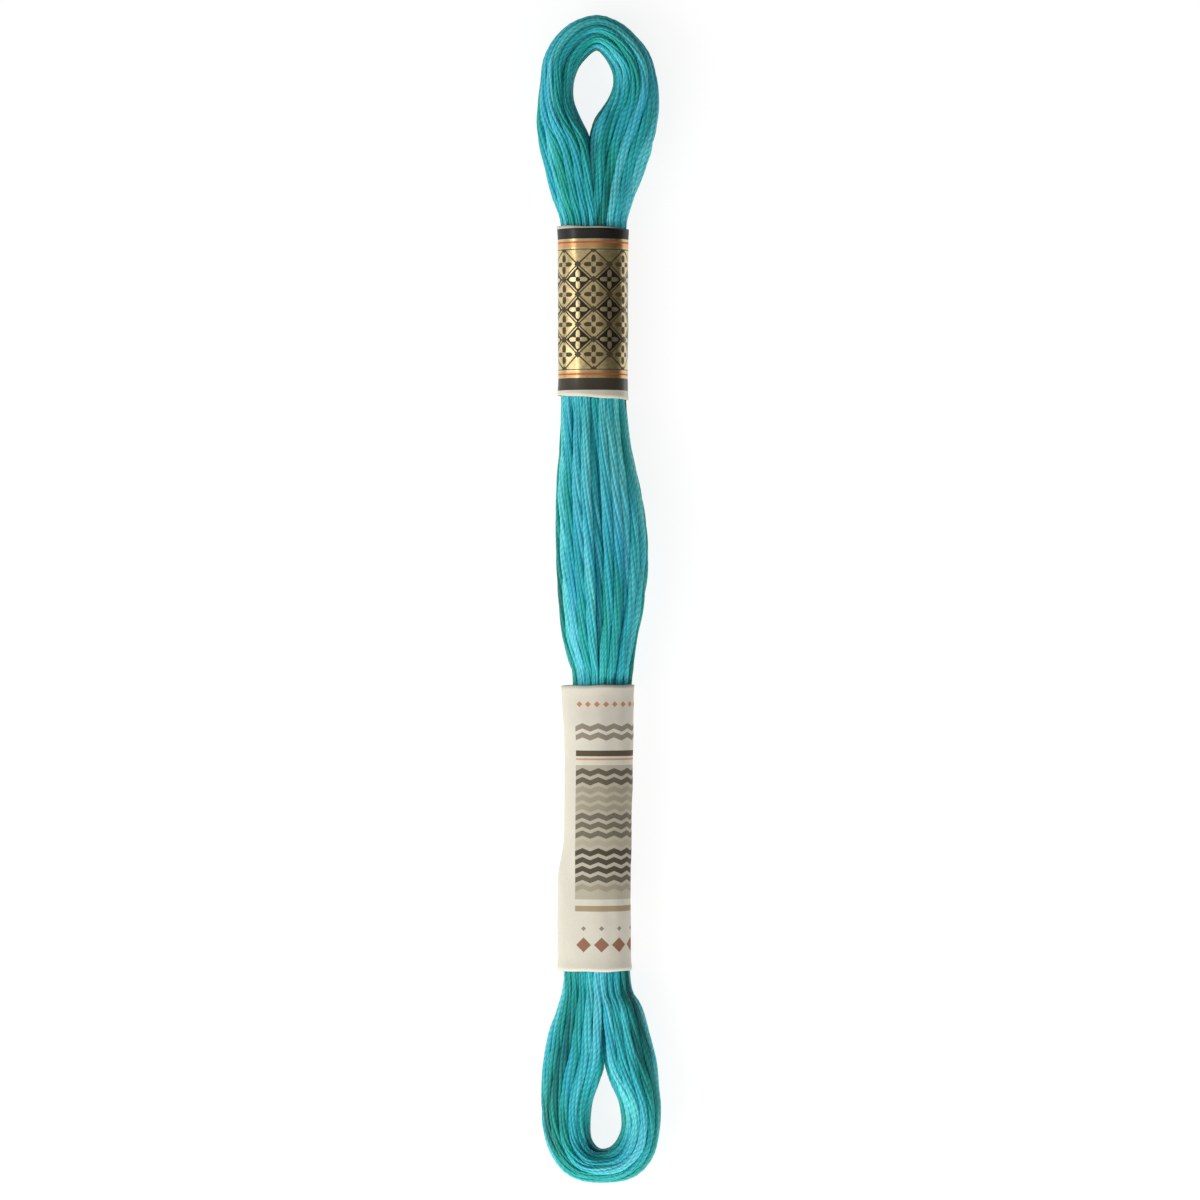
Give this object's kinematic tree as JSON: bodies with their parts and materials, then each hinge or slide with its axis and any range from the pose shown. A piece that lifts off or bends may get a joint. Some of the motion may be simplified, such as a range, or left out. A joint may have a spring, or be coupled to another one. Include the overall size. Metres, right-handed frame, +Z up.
{
  "type": "skein of embroidery floss",
  "caption": "Slim hank of wound cotton floss with an open loop at each end, held by a short gold paper band and a longer cream paper band.",
  "frame": {"origin": "on the surface under the skein, below the middle of its bounding box", "axes": "+Y along the skein towards the loop beside the short gold band, +X across it, +Z up from the surface it lies on"},
  "size_m": [0.0174, 0.165, 0.0087],
  "materials": {
    "floss": "mercerised cotton with a soft sheen along the strands, in bluish and greenish teal",
    "gold_paper": "smooth paper printed in antique gold with dark borders",
    "cream_paper": "smooth uncoated cream paper printed with dark bars, zigzags and lozenges"
  },
  "bodies": {
    "root": {"floss_skein": "floss", "upper_band": "gold_paper", "lower_band": "cream_paper"}
  },
  "joints": []
}
